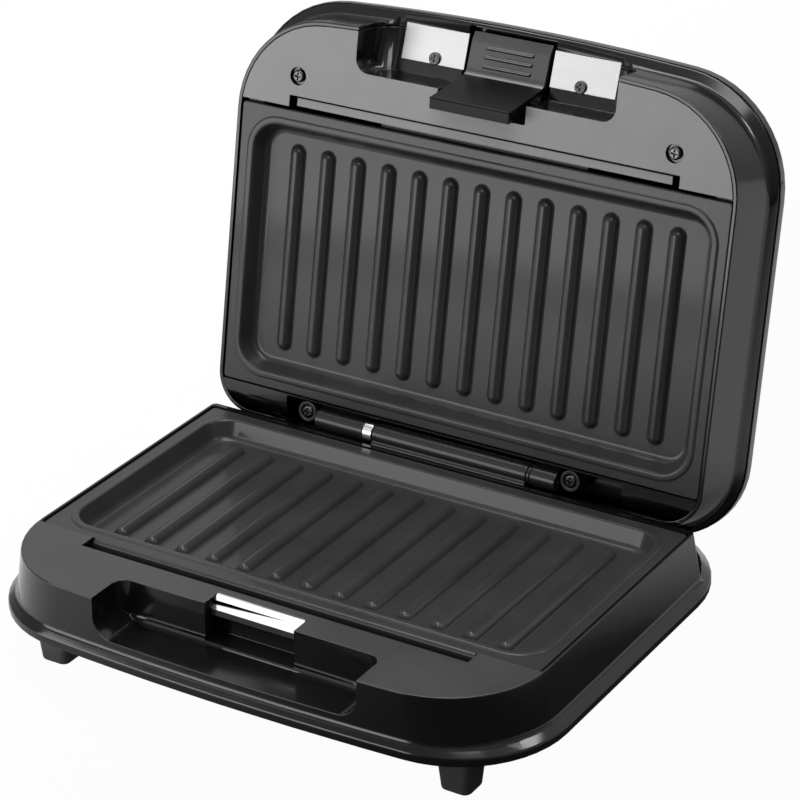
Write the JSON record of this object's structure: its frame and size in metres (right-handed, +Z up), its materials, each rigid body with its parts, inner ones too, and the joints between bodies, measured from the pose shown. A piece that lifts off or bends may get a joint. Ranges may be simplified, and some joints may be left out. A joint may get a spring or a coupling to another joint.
{
  "type": "sandwich toaster",
  "caption": "Countertop sandwich toaster with a hinged lid standing open, ribbed cooking plates, a sprung latch in a finger pocket and tapered feet.",
  "frame": {"origin": "centre of the footprint of the open toaster, at the bottom of the feet", "axes": "+X runs to the right as seen from the front, +Y runs from the handle side to the hinge side, +Z is up"},
  "size_m": [0.2528, 0.2366, 0.2236],
  "materials": {
    "gloss_black": "gloss black moulded plastic",
    "satin_plastic": "satin black moulded plastic with a fine grain",
    "latch_plastic": "satin black moulded plastic",
    "hinge_plastic": "semi-gloss black moulded plastic",
    "foot_plastic": "matt black moulded plastic",
    "coated_plate": "dark grey non-stick coating, satin",
    "bright_steel": "polished bright steel",
    "reflector_sheet": "plain bright sheet",
    "zinc_screws": "zinc plated",
    "black_screws": "blackened steel, cross heads",
    "hinge_metal": "turned, bright",
    "heater_rod": "dull grey metal sheath",
    "control_metal": "plain metal can",
    "terminal_plastic": "off-white moulded plastic",
    "gland_rubber": "soft black rubber",
    "red_lens": "clear tinted lens",
    "green_lens": "clear tinted lens"
  },
  "bodies": {
    "base": {"lower_casing": "gloss_black", "bottom_tray": "gloss_black", "front_left_foot": "foot_plastic", "front_right_foot": "foot_plastic", "rear_left_foot": "foot_plastic", "rear_right_foot": "foot_plastic", "foot_screws": "zinc_screws", "lower_plate": "coated_plate", "lower_plate_screws": "zinc_screws", "lower_heater": "heater_rod", "lower_reflector": "reflector_sheet", "lower_reflector_screws": "zinc_screws", "lower_thermostat": "control_metal", "catch_plate": "bright_steel", "hinge_barrel": "hinge_plastic", "barrel_screws": "zinc_screws", "terminal_block": "terminal_plastic", "cord_gland": "gland_rubber"},
    "lid": {"lid_shell": "gloss_black", "lid_cover": "gloss_black", "lid_frame": "satin_plastic", "frame_screws": "black_screws", "upper_plate": "coated_plate", "upper_plate_screws": "zinc_screws", "upper_heater": "heater_rod", "upper_reflector": "reflector_sheet", "upper_reflector_screws": "zinc_screws", "upper_thermostat": "control_metal", "thermal_fuse": "control_metal", "left_trim_plate": "bright_steel", "right_trim_plate": "bright_steel", "trim_screws": "black_screws", "left_hinge_bracket": "hinge_plastic", "right_hinge_bracket": "hinge_plastic", "hinge_screws": "black_screws", "hinge_pin": "hinge_metal", "left_hinge_bush": "hinge_metal", "right_hinge_washer": "hinge_plastic", "latch_pin": "hinge_metal", "latch_spring": "zinc_screws", "power_lamp": "red_lens", "ready_lamp": "green_lens"},
    "latch": {"latch": "latch_plastic"}
  },
  "joints": [
    {"name": "lid_hinge", "type": "hinge", "parent": "base", "child": "lid", "pos_m": [0, 0.05954, 0.0499], "axis": [1, 0, 0], "range_deg": [0, 100.25]},
    {"name": "latch_pivot", "type": "hinge", "parent": "lid", "child": "latch", "pos_m": [0, 0.10293, 0.19713], "axis": [-1, 0, 0], "range_deg": [0, 8], "stiffness_Nm_per_rad": 0.15, "springref_deg": -11.46}
  ]
}
